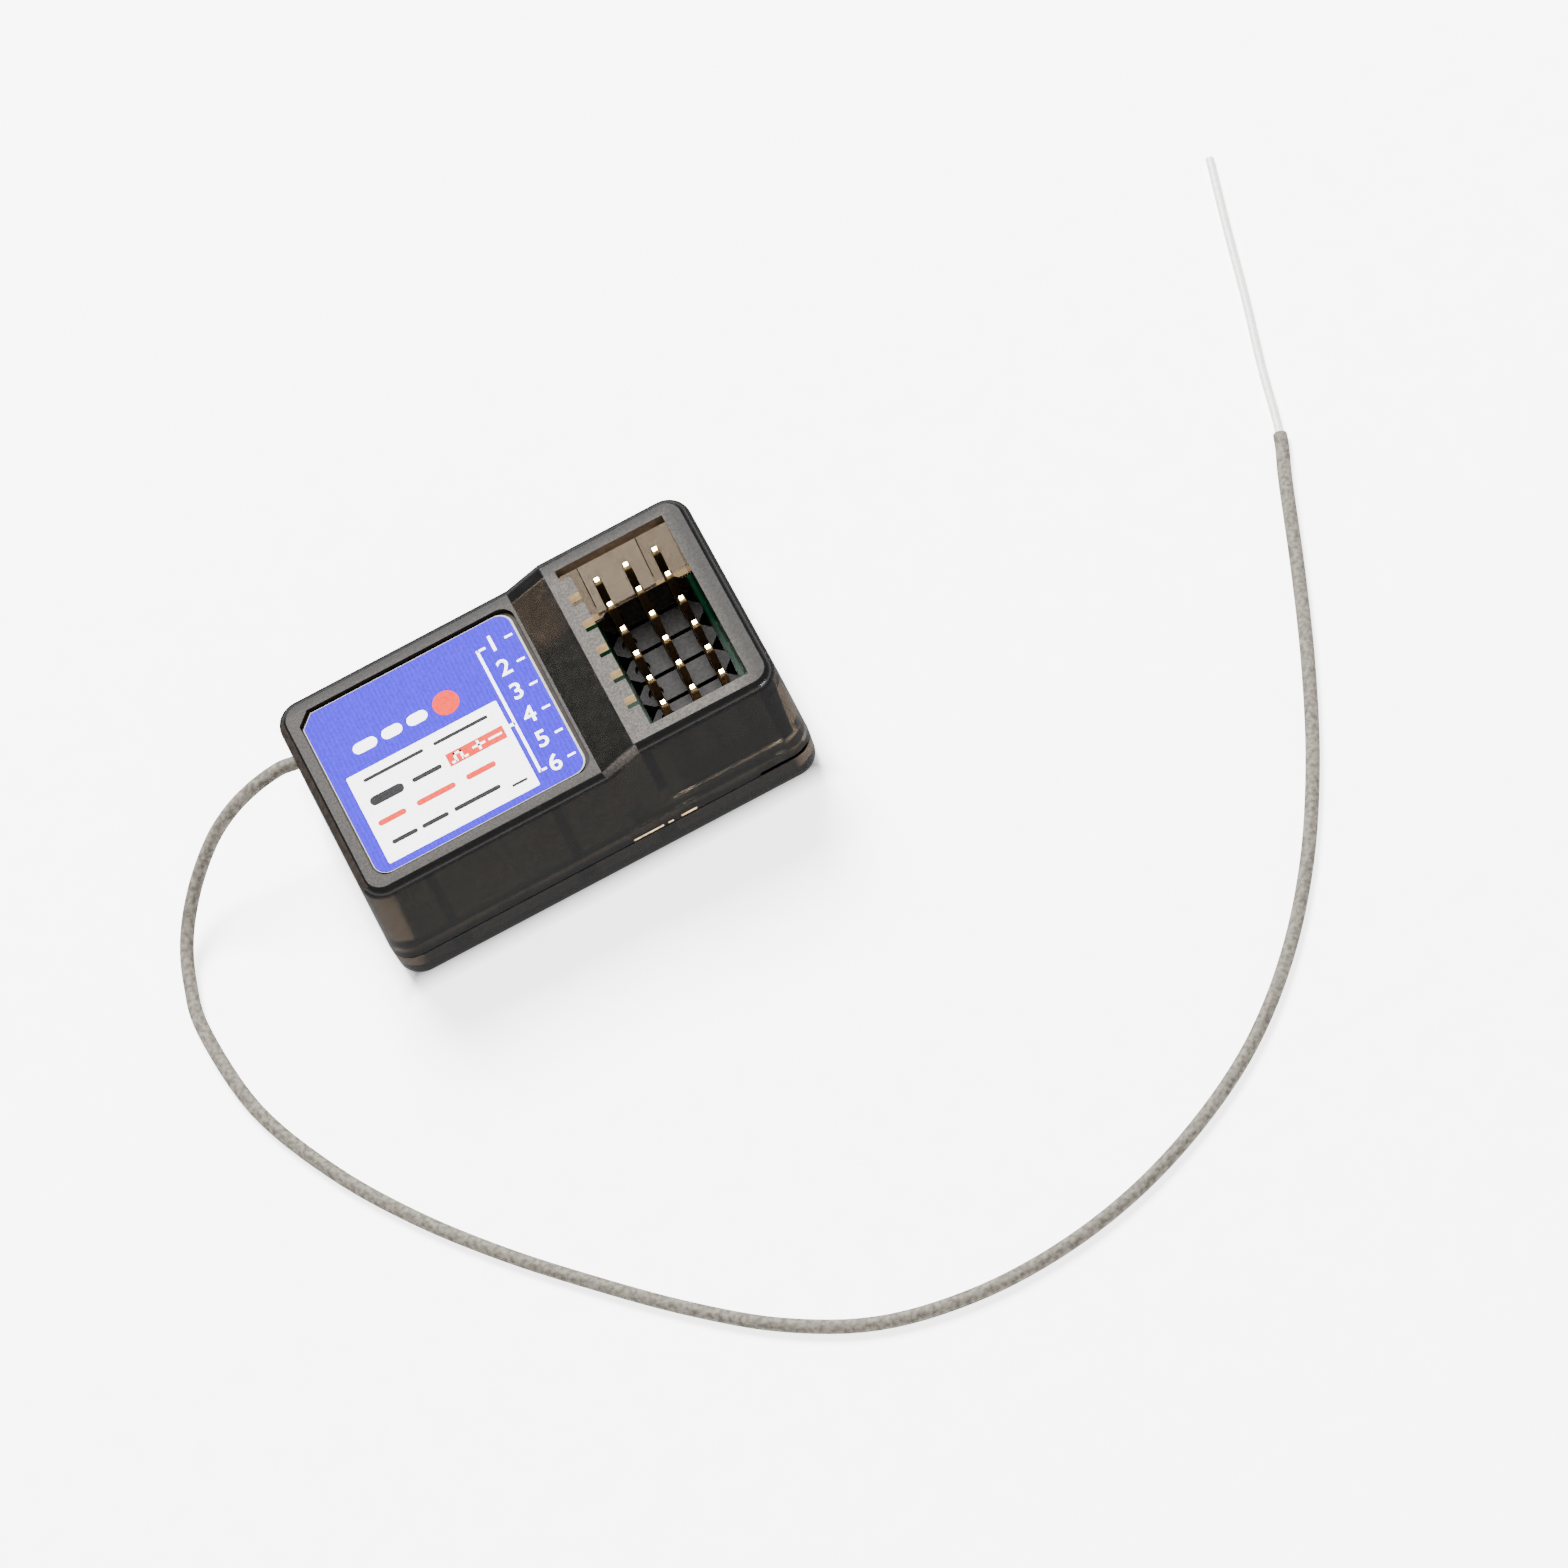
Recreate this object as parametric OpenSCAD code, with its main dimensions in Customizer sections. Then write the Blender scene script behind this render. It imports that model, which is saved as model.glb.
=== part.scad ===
// Radio control receiver in a smoke-translucent two-shell case, with a six-row
// plug well on its raised end and a wire antenna that lies in a loop beside it.
// Millimetres. The origin is at the middle of the case's underside, +X runs along
// the case towards the plug well, +Y to the side where the antenna leaves, +Z up.

/* [Case] */
// Length of the case at the parting line
case_length = 36.7; // [30:0.1:50]
// Width of the case at the parting line
case_width = 20.2; // [16:0.1:30]
// Height of the low deck that carries the label
deck_height = 13.6; // [10:0.05:20]
// Height of the raised deck around the plug well above the low deck
step_height = 1.25; // [0.5:0.05:3]
// Height of the parting line, where the lower shell ends
parting_height = 3.5; // [2.5:0.1:6]
// Thickness of the side walls of both shells
wall = 1.2; // [0.8:0.1:2]
// Thickness of the top plate
top_plate = 1.1; // [0.8:0.1:2]
// Thickness of the floor
floor_plate = 1.2; // [0.8:0.1:2]
// Radius of the case's corners, seen from above
corner_radius = 2.0; // [1:0.1:4]
// Radius of the rounded edge around the top
edge_radius = 0.85; // [0.3:0.05:1.2]
// Radius of the rounded edge around the underside
bottom_radius = 1.0; // [0.5:0.1:2]
// How far the walls lean in for each millimetre of height
wall_draft = 0.026; // [0:0.002:0.05]

/* [Ramp] */
// Length of the ramp along the case
ramp_length = 3.1; // [1.5:0.05:5]
// Length of raised deck between the ramp and the key notches
notch_rim = 0.85; // [0.5:0.05:2]

/* [Joint between the shells] */
// Open height of the shadow line between the shells
shadow_line = 0.12; // [0.05:0.01:0.3]
// Depth of the shadow line into the wall
shadow_depth = 0.3; // [0.2:0.05:0.5]
// Height of the tongue above the lower shell's seat
tongue_height = 0.9; // [0.5:0.1:1.5]
// Thickness of the tongue
tongue_thickness = 0.5; // [0.4:0.05:0.8]
// Clearance around the tongue
tongue_clearance = 0.1; // [0.05:0.01:0.2]
// Height of the prying gap at the plug end
pry_height = 0.32; // [0.2:0.02:0.6]
// Length of the prying gap along the case
pry_length = 5.0; // [3:0.5:8]
// Length of each snap bump
snap_length = 3.0; // [2:0.5:5]
// How far a snap bump stands out of the tongue
snap_reach = 0.25; // [0.15:0.05:0.4]
// Distance of the snap bumps from the middle of the case
snap_x = 8.0; // [5:0.5:12]

/* [Label] */
// Length of deck left bare between the end wall and the label's pocket
label_end_rim = 1.77; // [1:0.01:4]
// Length of deck left bare between the label's pocket and the ramp
label_ramp_rim = 0.39; // [0.2:0.01:2]
// Width of deck left bare on each side of the label's pocket
label_side_rim = 1.75; // [1:0.01:4]
// Thickness of the label
label_thickness = 0.12; // [0.05:0.01:0.3]
// How far the label sits off the middle of its pocket, towards the cable
label_shift = 0.1; // [0:0.01:0.2]
// Depth of the label's pocket
pocket_depth = 0.4; // [0.2:0.05:0.6]
// Gap between the label and the pocket's edge
pocket_gap = 0.24; // [0.1:0.01:0.5]
// Corner radius of the label
label_corner = 1.2; // [0.5:0.1:2]
// Size of the cut corner of the label
label_cut = 1.1; // [0.5:0.1:2]

/* [Plug well] */
// Length of raised deck between the well and the plug end
well_end_rim = 2.4; // [1.5:0.05:4]
// Width of raised deck on each side of the well
well_side_rim = 1.9; // [1.5:0.05:4]
// Width of the well along the case
well_width = 8.5; // [8:0.1:10]
// Height of the lower end of the well's walls
well_wall_bottom = 5.7; // [5:0.05:8]
// Thickness of the well's inner walls
well_wall = 0.8; // [0.6:0.1:1.2]
// Width of each key notch
notch_width = 1.05; // [0.8:0.05:1.4]
// Depth of each key notch into the top plate
notch_depth = 0.9; // [0.6:0.05:1.2]
// Length of well wall in front of the last key notch
notch_end = 2.1; // [1:0.05:4]
// Depth of the shallow panel in the well's back wall
panel_depth = 0.25; // [0.1:0.05:0.4]

/* [Header] */
// Distance between neighbouring pins of one strip
pin_pitch = 2.54; // [2.5:0.01:2.6]
// Room between the first or last strip and the well's end
header_end_gap = 0.58; // [0.3:0.01:1.5]
// Side of the square pins
pin_side = 0.64; // [0.5:0.01:0.8]
// Depth of the pins' tips below the raised deck
pin_drop = 0.95; // [0.3:0.05:2]
// Length of a pin below the board
pin_tail = 1.4; // [1:0.1:2]
// Length of the taper at each end of a pin
pin_taper = 0.4; // [0.2:0.05:0.8]
// Side of a pin at its very end
pin_end_side = 0.36; // [0.2:0.02:0.5]
// Height of a header strip
strip_height = 2.5; // [2:0.1:3]
// Groove between neighbouring header strips
strip_groove = 0.36; // [0.05:0.01:0.6]
// Size of the cut corners of a header strip
strip_cut = 0.72; // [0.4:0.02:1]
// Radius of the round dimple at the signal pin
dimple_radius = 0.62; // [0.5:0.02:0.8]
// Depth of the round dimple
dimple_depth = 0.4; // [0.05:0.05:0.6]

/* [Board] */
// Height of the board's underside
board_bottom = 3.8; // [2.5:0.05:4.5]
// Thickness of the board
board_thickness = 1.0; // [0.8:0.1:1.6]
// Clearance between the board and the walls around it
board_clearance = 0.35; // [0.2:0.05:1]
// Radius of the pin holes in the board
pin_hole_radius = 0.5; // [0.46:0.01:0.6]
// Height of a solder joint below the board
solder_height = 0.8; // [0.5:0.1:1.2]

/* [Antenna] */
// Diameter of the antenna cable over its jacket
jacket_diameter = 1.13; // [0.8:0.01:1.8]
// Diameter of the bared end of the antenna
core_diameter = 0.68; // [0.4:0.01:1]
// Diameter of the cable hole in the end wall
cable_hole_diameter = 1.5; // [1.2:0.05:2.2]
// Height of the cable hole
cable_hole_height = 9.65; // [7:0.05:11]
// Distance of the cable hole from the back wall
cable_hole_inset = 3.05; // [2.5:0.05:6]

/* [Hidden] */
eps = 0.01;
// How far a cut runs on past the face that it opens
past = 1;
round_sides = 32;
row_count = 6;
column_count = 3;
half_length = case_length / 2;
half_width = case_width / 2;
raised_height = deck_height + step_height;
seat_height = parting_height + shadow_line;
tongue_top = seat_height + tongue_height;
board_top = board_bottom + board_thickness;
strip_top = board_top + strip_height;
pin_top = raised_height - pin_drop;
pin_bottom = board_bottom - pin_tail;
pin_length = pin_top - pin_bottom;
well_x = half_length - well_end_rim - well_width / 2;
well_left = well_x - well_width / 2;
well_right = well_x + well_width / 2;
well_length = case_width - 2 * well_side_rim;
well_half = well_length / 2;
row_pitch = (well_length - 2 * header_end_gap) / row_count;
strip_width = row_pitch - strip_groove;
notch_pitch = (well_length - notch_width - notch_end) / (row_count - 1);
tower_left = well_left - notch_depth;
ramp_top_x = tower_left - notch_rim;
ramp_foot_x = ramp_top_x - ramp_length;
pocket_left = label_end_rim - half_length;
pocket_right = ramp_foot_x - label_ramp_rim;
pocket_x = (pocket_left + pocket_right) / 2;
label_x = pocket_x - label_shift;
label_length = pocket_right - pocket_left - 2 * pocket_gap;
label_width = case_width - 2 * label_side_rim - 2 * pocket_gap;
board_length = case_length - 2 * wall - 2 * board_clearance;
board_width = case_width - 2 * wall - 2 * board_clearance;
bay_left = -board_length / 2;
bay_length = tower_left - well_wall - bay_left;
cable_hole_y = half_width - cable_hole_inset;
plate_under = raised_height - top_plate;
pocket_floor = deck_height - pocket_depth;
raised_inset = 0.01;
ramp_skin = 0.35;
tray_lean = 0.1;
strip_length = column_count * pin_pitch;
panel_inset_left = 0.75;
panel_inset_right = 2.7;
panel_left = well_left + panel_inset_left;
panel_right = well_right - panel_inset_right;
panel_sill = 0.45;
panel_bottom = well_wall_bottom + panel_sill;
panel_top = plate_under;
rib_width = 0.8;
rib_reach = 0.9;
rib_root = 0.3;
rib_places = [-13, -2];
ledge_length = 1.6;
ledge_reach = 1.0;
ledge_places = [-13, -2, 5];
nick_y = -7.9;
nick_height = 4.6;
nick_width = 0.5;
nick_tall = 1.0;
nick_depth = 0.35;
board_corner = 0.8;
solder_base = 0.85;
solder_tip = 0.5;
cord_sides = 8;

// Places of the parts on the board: share of the bay's length from the cable end,
// share of the board's width from its middle
radio_place = [0.37, 0.07];
controller_place = [0.62, -0.09];
motion_place = [0.77, 0.26];
crystal_place = [0.32, -0.19];
regulator_place = [0.8, -0.37];
input_capacitor_place = [0.59, -0.39];
output_capacitor_place = [0.37, -0.39];
lamp_place = [0.12, -0.33];

// Sizes of the parts on the board: share of the bay's length, share of the
// board's width, height in millimetres
radio_size = [0.18, 0.23, 0.85];
controller_size = [0.29, 0.26, 1.0];
motion_size = [0.13, 0.18, 0.9];
crystal_size = [0.14, 0.15, 0.8];
regulator_size = [0.2, 0.15, 1.5];
capacitor_size = [0.14, 0.1, 1.4];
lamp_size = [0.09, 0.07, 0.8];

// Solder joint of the antenna: distance from the cable hole, and size
antenna_joint_offset = [5.95, -2.75];
antenna_joint_size = [2.2, 1.9, 1.25];

// Middle line of the jacketed cable, from its joint on the board to its cut end:
// distance from the cable hole along and across the case, height above the underside
jacket_route = [
    [7.05, -2.75, 5.38],
    [4.75, -2.45, 5.55],
    [3.15, -1.45, 6.95],
    [2.25, -0.45, 9.05],
    [1.25, -0.05, 9.65],
    [0.15, 0.0, 9.65],
    [-1.25, 0.25, 9.55],
    [-3.65, 0.2, 9.0],
    [-6.25, -0.05, 7.8],
    [-8.75, -0.6, 5.9],
    [-11.55, -2.15, 3.5],
    [-13.85, -4.7, 1.75],
    [-15.25, -8.0, 0.87],
    [-15.95, -12.3, 0.6],
    [-15.05, -20.75, 0.58],
    [-11.95, -28.8, 0.58],
    [-7.85, -35.9, 0.58],
    [-3.05, -42.4, 0.58],
    [2.15, -48.4, 0.58],
    [7.55, -54.1, 0.58],
    [13.25, -59.1, 0.58],
    [19.65, -62.8, 0.58],
    [26.75, -64.5, 0.58],
    [33.95, -64.6, 0.58],
    [41.15, -63.3, 0.58],
    [48.15, -60.6, 0.58],
    [54.65, -56.7, 0.58],
    [60.35, -51.4, 0.58],
    [65.25, -45.0, 0.58],
    [69.35, -37.8, 0.58],
    [72.85, -30.1, 0.58],
    [75.95, -22.1, 0.58],
    [78.85, -13.9, 0.58],
    [80.35, -9.9, 0.58]
];
// Middle line of the bared end, on from the jacket's cut end, in the same way
core_route = [
    [80.35, -9.9, 0.58],
    [81.85, -3.5, 0.46],
    [83.55, 2.9, 0.38],
    [85.15, 9.5, 0.36],
    [86.85, 16.1, 0.36]
];

// Way the cable runs where its jacket is cut
cut_way = [0.3, 0.95, 0];

function lean_at(z) = wall_draft * (z - seat_height);
function row_y(row) = ((row_count + 1) / 2 - row) * row_pitch;
function column_x(column) = well_x + (column - (column_count + 1) / 2) * pin_pitch;
function on_board(share) = [bay_left + share[0] * bay_length, share[1] * board_width];
function from_hole(route) = [for (p = route) [p[0] - half_length, p[1] + cable_hole_y, p[2]]];
function notch_y(i) = well_half - notch_width / 2 - i * notch_pitch;

function blend(a, b, c, d, t) =
    0.5 * (2 * b + (c - a) * t + (2 * a - 5 * b + 4 * c - d) * t * t + (3 * b - a - 3 * c + d) * t * t * t);
function at(route, i) = route[max(0, min(len(route) - 1, i))];
function smooth(route, steps) = concat(
    [for (i = [0 : len(route) - 2], j = [0 : steps - 1])
        blend(at(route, i - 1), at(route, i), at(route, i + 1), at(route, i + 2), j / steps)],
    [route[len(route) - 1]]);
function unit(v) = v / norm(v);
function heading(line, i) = unit(line[min(len(line) - 1, i + 1)] - line[max(0, i - 1)]);
function side_of(direction) = unit(cross(direction, [0, 0, 1]));
function ring(line, i, r, forward) =
    let (side = side_of(forward), rise = cross(side, forward))
    [for (k = [0 : cord_sides - 1])
        line[i] + r * (cos(360 * k / cord_sides) * side + sin(360 * k / cord_sides) * rise)];

// A round cord along a line; its end faces square to the ways given, or to the line
module swept_cord(line, r, start_way = undef, end_way = undef) {
    rings = len(line);
    ways = [for (i = [0 : rings - 1])
        i == 0 && is_list(start_way) ? unit(start_way)
            : i == rings - 1 && is_list(end_way) ? unit(end_way) : heading(line, i)];
    spots = [for (i = [0 : rings - 1]) each ring(line, i, r, ways[i])];
    first = [for (i = [0 : rings - 2], k = [0 : cord_sides - 1])
        [i * cord_sides + k, i * cord_sides + (k + 1) % cord_sides, (i + 1) * cord_sides + k]];
    second = [for (i = [0 : rings - 2], k = [0 : cord_sides - 1])
        [i * cord_sides + (k + 1) % cord_sides, (i + 1) * cord_sides + (k + 1) % cord_sides,
            (i + 1) * cord_sides + k]];
    start = [[for (k = [cord_sides - 1 : -1 : 0]) k]];
    finish = [[for (k = [0 : cord_sides - 1]) (rings - 1) * cord_sides + k]];
    polyhedron(points = spots, faces = concat(first, second, start, finish), convexity = 6);
}

module box_between(low, high) {
    translate(low)
        cube(high - low);
}

module rounded_outline(half_x, half_y, r) {
    square([2 * (half_x - r), 2 * half_y], center = true);
    square([2 * half_x, 2 * (half_y - r)], center = true);
    for (sx = [-1, 1])
        for (sy = [-1, 1])
            translate([sx * (half_x - r), sy * (half_y - r)])
                circle(r, $fn = 48);
}

module rounded_block(half_x, half_y, r, low, high) {
    translate([0, 0, low])
        linear_extrude(high - low)
            rounded_outline(half_x, half_y, r);
}

// Thin discs at the corners of a rounded rectangle, for the flat levels of a shell
module corner_discs(half_x, half_y, r, z, signs) {
    for (sx = signs)
        for (sy = [-1, 1])
            translate([sx * (half_x - r), sy * (half_y - r), z])
                cylinder(h = eps, r = r, $fn = round_sides);
}

// Rounded-edge rings at the corners of a rounded rectangle
module corner_rings(half_x, half_y, r, edge, z, signs) {
    for (sx = signs)
        for (sy = [-1, 1])
            translate([sx * (half_x - r), sy * (half_y - r), z])
                rotate_extrude($fn = round_sides)
                    translate([r - edge, 0])
                        circle(edge, $fn = round_sides);
}

module upper_outside() {
    deck_ring = deck_height - edge_radius;
    raised_ring = raised_height - edge_radius;
    hull() {
        corner_discs(half_length, half_width, corner_radius, seat_height, [-1, 1]);
        corner_rings(half_length - lean_at(deck_ring), half_width - lean_at(deck_ring),
            corner_radius, edge_radius, deck_ring, [-1, 1]);
    }
    hull() {
        corner_discs(half_length - raised_inset, half_width - raised_inset, corner_radius,
            seat_height, [1]);
        corner_rings(half_length - lean_at(raised_ring) - raised_inset,
            half_width - lean_at(raised_ring) - raised_inset,
            corner_radius, edge_radius, raised_ring, [1]);
        for (sy = [-1, 1]) {
            translate([ramp_top_x, sy * (half_width - lean_at(raised_ring) - raised_inset - edge_radius),
                raised_ring])
                sphere(edge_radius, $fn = round_sides);
            translate([ramp_foot_x, sy * (half_width - lean_at(deck_ring) - raised_inset - edge_radius),
                deck_ring])
                sphere(edge_radius, $fn = round_sides);
        }
        translate([ramp_foot_x, raised_inset - half_width, seat_height])
            cube([eps, case_width - 2 * raised_inset, eps]);
    }
}

module upper_inside() {
    inner_length = half_length - wall;
    inner_width = half_width - wall;
    inner_corner = corner_radius - wall / 2;
    deck_under = deck_height - top_plate;
    hull() {
        corner_discs(inner_length, inner_width, inner_corner, seat_height - eps, [-1, 1]);
        corner_discs(inner_length - lean_at(deck_under), inner_width - lean_at(deck_under),
            inner_corner, deck_under - eps, [-1, 1]);
    }
    hull() {
        corner_discs(inner_length - raised_inset, inner_width - raised_inset, inner_corner,
            board_top, [1]);
        corner_discs(inner_length - lean_at(plate_under) - raised_inset,
            inner_width - lean_at(plate_under) - raised_inset, inner_corner, plate_under - eps, [1]);
        for (sy = [-1, 1]) {
            translate([ramp_top_x + ramp_skin,
                sy * (inner_width - lean_at(plate_under) - raised_inset - inner_corner / 2), plate_under - eps])
                cylinder(h = eps, r = inner_corner / 2, $fn = round_sides);
            translate([ramp_foot_x + ramp_skin,
                sy * (inner_width - lean_at(deck_under) - raised_inset - inner_corner / 2), deck_under - eps])
                cylinder(h = eps, r = inner_corner / 2, $fn = round_sides);
        }
        translate([ramp_foot_x + ramp_skin, 2 * raised_inset - inner_width, board_top])
            cube([eps, 2 * inner_width - 4 * raised_inset, eps]);
    }
}

// Rebate around the inside of the upper shell that takes the tongue
module tongue_rebate() {
    reach = tongue_thickness + tongue_clearance - wall;
    back = -wall - tongue_clearance;
    difference() {
        rounded_block(half_length + reach, half_width + reach, corner_radius - wall / 2,
            seat_height - shadow_line, tongue_top + tongue_clearance);
        rounded_block(half_length + back, half_width + back, corner_radius - wall / 2,
            seat_height - past, tongue_top + past);
    }
}

// Walls that stand down from the top plate around the plug well
module well_walls() {
    box_between([tower_left - well_wall, -well_half - wall / 2, well_wall_bottom],
        [tower_left, well_half + wall / 2, plate_under + eps]);
    box_between([well_right, -well_half - wall / 2, well_wall_bottom],
        [well_right + well_wall, well_half + wall / 2, plate_under + eps]);
    for (sy = [-1, 1])
        box_between([tower_left - eps, sy > 0 ? well_half : -well_half - wall, well_wall_bottom],
            [well_right + eps, sy > 0 ? well_half + wall : -well_half, plate_under + eps]);
}

// Ribs that hold the board down
module hold_down_ribs() {
    rib_top = deck_height - top_plate / 2;
    over_tongue = tongue_top + tongue_clearance;
    rib_foot = max(board_top, over_tongue);
    for (x = rib_places)
        for (sy = [-1, 1]) {
            near = sy * (half_width - wall - rib_reach);
            far = sy * (half_width - wall + rib_root);
            toe = sy * (half_width - wall - tongue_clearance);
            box_between([x - rib_width / 2, min(near, far), rib_foot],
                [x + rib_width / 2, max(near, far), rib_top]);
            if (board_top < over_tongue)
                box_between([x - rib_width / 2, min(near, toe), board_top],
                    [x + rib_width / 2, max(near, toe), rib_foot + eps]);
        }
}

module snap_profile(reach, half_height) {
    rotate([90, 0, 90])
        linear_extrude(snap_length, center = true)
            polygon([[-reach, -half_height], [reach, 0], [-reach, half_height]]);
}

module snap_places(shift, reach, half_height) {
    snap_z = seat_height + tongue_height / 2;
    snap_y = half_width - wall + tongue_thickness + shift;
    for (x = [-snap_x, snap_x]) {
        translate([x, snap_y, snap_z])
            snap_profile(reach, half_height);
        translate([x, -snap_y, snap_z])
            rotate([0, 0, 180])
                snap_profile(reach, half_height);
    }
}

module label_outline(grow) {
    half_x = label_length / 2 + grow;
    half_y = label_width / 2 + grow;
    difference() {
        rounded_outline(half_x, half_y, label_corner);
        translate([-half_x, half_y])
            rotate([0, 0, 45])
                square(label_cut * sqrt(2), center = true);
    }
}

module upper_case() {
    color([0.24, 0.23, 0.22, 0.6])
        difference() {
            union() {
                difference() {
                    upper_outside();
                    upper_inside();
                }
                well_walls();
                hold_down_ribs();
            }
            tongue_rebate();
            // Well mouth and the key notches in its edge
            box_between([well_left, -well_half, well_wall_bottom - eps],
                [well_right, well_half, raised_height + past]);
            for (i = [0 : row_count - 1])
                box_between([tower_left, notch_y(i) - notch_width / 2, plate_under - past],
                    [well_left + eps, notch_y(i) + notch_width / 2, raised_height + past]);
            // Shallow panel in the well's back wall
            box_between([panel_left, well_half - eps, panel_bottom],
                [panel_right, well_half + panel_depth, panel_top]);
            // Pocket for the label
            translate([pocket_x, 0, pocket_floor])
                linear_extrude(pocket_depth + past)
                    label_outline(pocket_gap);
            // Cable hole in the end wall
            translate([-half_length - past, cable_hole_y, cable_hole_height])
                rotate([0, 90, 0])
                    cylinder(h = wall + 2 * past, d = cable_hole_diameter, $fn = 48);
            // Hollows for the snap bumps
            snap_places(tongue_clearance, snap_reach, snap_reach + tongue_clearance);
            // Prying gap at the plug end
            box_between([half_length - pry_length, -half_width - past, seat_height - past],
                [half_length + past, -half_width + wall - tongue_thickness - tongue_clearance,
                    seat_height + pry_height]);
            // Nick in the end wall
            box_between([half_length - nick_depth - lean_at(nick_height), nick_y - nick_width / 2, nick_height],
                [half_length + past, nick_y + nick_width / 2, nick_height + nick_tall]);
        }
}

module lower_case() {
    color([0.2, 0.19, 0.19, 0.7])
        difference() {
            union() {
                hull() {
                    corner_discs(half_length, half_width, corner_radius, parting_height - eps, [-1, 1]);
                    corner_rings(half_length - tray_lean, half_width - tray_lean, corner_radius,
                        bottom_radius, bottom_radius, [-1, 1]);
                }
                rounded_block(half_length - shadow_depth, half_width - shadow_depth,
                    corner_radius - shadow_depth, parting_height - past, seat_height);
                rounded_block(half_length - wall + tongue_thickness, half_width - wall + tongue_thickness,
                    corner_radius - wall / 2, parting_height - past, tongue_top);
                snap_places(0, snap_reach, snap_reach);
            }
            difference() {
                rounded_block(half_length - wall, half_width - wall, corner_radius - wall / 2,
                    floor_plate, tongue_top + past);
                // Ledges that carry the board
                for (x = ledge_places)
                    for (sy = [-1, 1])
                        translate([x, sy * (half_width - wall - ledge_reach / 2), board_bottom / 2])
                            cube([ledge_length, ledge_reach + eps, board_bottom], center = true);
            }
        }
}

module label() {
    color([0.48, 0.48, 0.98])
        translate([label_x, 0, pocket_floor])
            linear_extrude(label_thickness)
                label_outline(0);
}

module main_board() {
    color([0.1, 0.35, 0.2])
        difference() {
            rounded_block(board_length / 2, board_width / 2, board_corner, board_bottom, board_top);
            for (row = [1 : row_count])
                for (column = [1 : column_count])
                    translate([column_x(column), row_y(row), board_bottom - past])
                        cylinder(h = board_thickness + 2 * past, r = pin_hole_radius, $fn = 24);
        }
}

module header_strip(row) {
    half_x = strip_length / 2;
    half_y = strip_width / 2;
    color([0.12, 0.12, 0.12])
        difference() {
            translate([well_x, row_y(row), board_top])
                linear_extrude(strip_height)
                    polygon([
                        [-half_x, strip_cut - half_y],
                        [strip_cut - half_x, -half_y],
                        [half_x - strip_cut, -half_y],
                        [half_x, strip_cut - half_y],
                        [half_x, half_y - strip_cut],
                        [half_x - strip_cut, half_y],
                        [strip_cut - half_x, half_y],
                        [-half_x, half_y - strip_cut]
                    ]);
            for (column = [1 : column_count])
                translate([column_x(column), row_y(row), board_top + strip_height / 2])
                    cube([pin_side, pin_side, strip_height + 2 * past], center = true);
            translate([column_x(1), row_y(row), strip_top - dimple_depth])
                cylinder(h = dimple_depth + past, r = dimple_radius, $fn = 32);
        }
}

module header_pin(row, column) {
    color([0.85, 0.72, 0.4])
        translate([column_x(column), row_y(row), 0]) {
            translate([0, 0, (pin_top + pin_bottom) / 2])
                cube([pin_side, pin_side, pin_length - 2 * pin_taper], center = true);
            hull() {
                translate([0, 0, pin_top - pin_taper])
                    cube([pin_side, pin_side, eps], center = true);
                translate([0, 0, pin_top - eps / 2])
                    cube([pin_end_side, pin_end_side, eps], center = true);
            }
            hull() {
                translate([0, 0, pin_bottom + pin_taper])
                    cube([pin_side, pin_side, eps], center = true);
                translate([0, 0, pin_bottom + eps / 2])
                    cube([pin_end_side, pin_end_side, eps], center = true);
            }
        }
}

module header_solder() {
    color([0.75, 0.75, 0.76])
        for (row = [1 : row_count])
            for (column = [1 : column_count])
                translate([column_x(column), row_y(row), board_bottom - solder_height])
                    difference() {
                        cylinder(h = solder_height, r1 = solder_tip, r2 = solder_base, $fn = 24);
                        cube([pin_side, pin_side, 4 * solder_height], center = true);
                    }
}

// A plain part on the board; its middle and its size are shares of the bay
module board_part(place, size) {
    middle = on_board(place);
    size_x = size[0] * bay_length;
    size_y = size[1] * board_width;
    translate([middle[0] - size_x / 2, middle[1] - size_y / 2, board_top])
        cube([size_x, size_y, size[2]]);
}

module radio_chip() {
    color([0.1, 0.1, 0.11])
        board_part(radio_place, radio_size);
}

module controller_chip() {
    color([0.1, 0.1, 0.11])
        board_part(controller_place, controller_size);
}

module motion_chip() {
    color([0.13, 0.13, 0.14])
        board_part(motion_place, motion_size);
}

module crystal() {
    color([0.78, 0.78, 0.76])
        board_part(crystal_place, crystal_size);
}

module voltage_regulator() {
    color([0.1, 0.1, 0.11])
        board_part(regulator_place, regulator_size);
}

module input_capacitor() {
    color([0.6, 0.48, 0.35])
        board_part(input_capacitor_place, capacitor_size);
}

module output_capacitor() {
    color([0.6, 0.48, 0.35])
        board_part(output_capacitor_place, capacitor_size);
}

module status_lamp() {
    color([0.9, 0.85, 0.8])
        board_part(lamp_place, lamp_size);
}

// Solder joint that holds the cable's end on the board
module antenna_joint() {
    color([0.75, 0.75, 0.76])
        difference() {
            translate([antenna_joint_offset[0] - half_length, antenna_joint_offset[1] + cable_hole_y, board_top])
                translate([-antenna_joint_size[0] / 2, -antenna_joint_size[1] / 2, 0])
                    cube(antenna_joint_size);
            swept_cord(smooth(from_hole(jacket_route), 2), jacket_diameter / 2);
        }
}

module antenna_jacket() {
    color([0.56, 0.54, 0.51])
        swept_cord(smooth(from_hole(jacket_route), 2), jacket_diameter / 2, end_way = cut_way);
}

module antenna_core() {
    color([0.8, 0.8, 0.78])
        swept_cord(smooth(from_hole(core_route), 2), core_diameter / 2, start_way = cut_way);
}

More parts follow.
